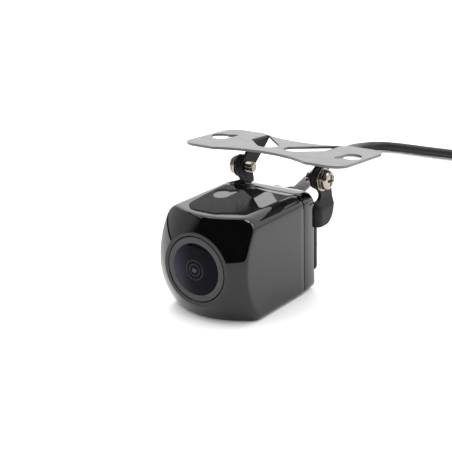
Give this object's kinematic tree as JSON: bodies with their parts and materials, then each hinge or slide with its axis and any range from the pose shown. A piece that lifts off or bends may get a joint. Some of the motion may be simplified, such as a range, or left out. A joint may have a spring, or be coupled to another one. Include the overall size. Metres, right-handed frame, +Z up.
{
  "type": "vehicle backup camera",
  "caption": "Small glossy rounded-cube backup camera on a yoke, hung from a tilting bow-tie mounting plate with keyholes, with its coiled cable and round plug.",
  "frame": {"origin": "middle of the flat underside of the housing, which the camera stands on", "axes": "+Z up, -Y the way the lens looks, +X to the right of someone looking along +Y at the lens"},
  "size_m": [0.0969, 0.1646, 0.0356],
  "materials": {
    "gloss_black": "high-gloss black enamel",
    "ring_grey": "dark grey anodised, satin",
    "rubber": "matt black",
    "tinted_glass": "polished, dark tint with a violet coating",
    "clear_glass": "polished, coated",
    "black_plastic": "fine satin",
    "board_green": "green solder resist",
    "gold": "gold plated",
    "nylon_white": "natural nylon",
    "cable_jacket": "satin black soft jacket",
    "satin_black": "satin black powder coat",
    "painted_steel": "satin grey powder coat",
    "black_screw": "black oxide",
    "nickel": "warm nickel plating"
  },
  "bodies": {
    "camera": {"bezel_seal": "rubber", "board_socket": "nylon_white", "board_spacer_1": "gold", "board_spacer_2": "gold", "board_spacer_3": "gold", "cable": "cable_jacket", "cable_boot": "rubber", "cable_coil": "cable_jacket", "cable_tail": "cable_jacket", "case_screw_1": "black_screw", "case_screw_2": "black_screw", "case_screw_3": "black_screw", "case_screw_4": "black_screw", "coil_tie": "black_plastic", "cover_seal": "rubber", "element_lock_ring": "black_plastic", "front_element": "clear_glass", "front_glass": "tinted_glass", "front_housing": "gloss_black", "image_sensor": "black_plastic", "inner_lead": "cable_jacket", "lens_barrel": "black_plastic", "lens_bezel": "ring_grey", "lens_holder": "black_plastic", "main_board": "board_green", "middle_element": "clear_glass", "pin_insert": "nylon_white", "plug_body": "rubber", "plug_pin_1": "gold", "plug_pin_2": "gold", "plug_pin_3": "gold", "plug_pin_4": "gold", "rear_cover": "gloss_black", "rear_element": "clear_glass", "sensor_board": "board_green", "yoke": "satin_black"},
    "plate": {"mounting_plate": "painted_steel", "friction_washer_left": "rubber", "friction_washer_right": "rubber", "flat_washer_left": "nickel", "flat_washer_right": "nickel", "split_washer_left": "nickel", "split_washer_right": "nickel", "pivot_screw_left": "nickel", "pivot_screw_right": "nickel"},
    "nut": {"coupling_nut": "black_plastic"}
  },
  "joints": [
    {"name": "plate_tilt", "type": "hinge", "parent": "camera", "child": "plate", "pos_m": [0, 0.02345, 0.0282], "axis": [1, 0, 0], "range_deg": [-50, 38]},
    {"name": "nut_spin", "type": "hinge", "parent": "camera", "child": "nut", "pos_m": [0.0505, 0.112, 0.0054], "axis": [0, 1, 0], "continuous": true}
  ]
}
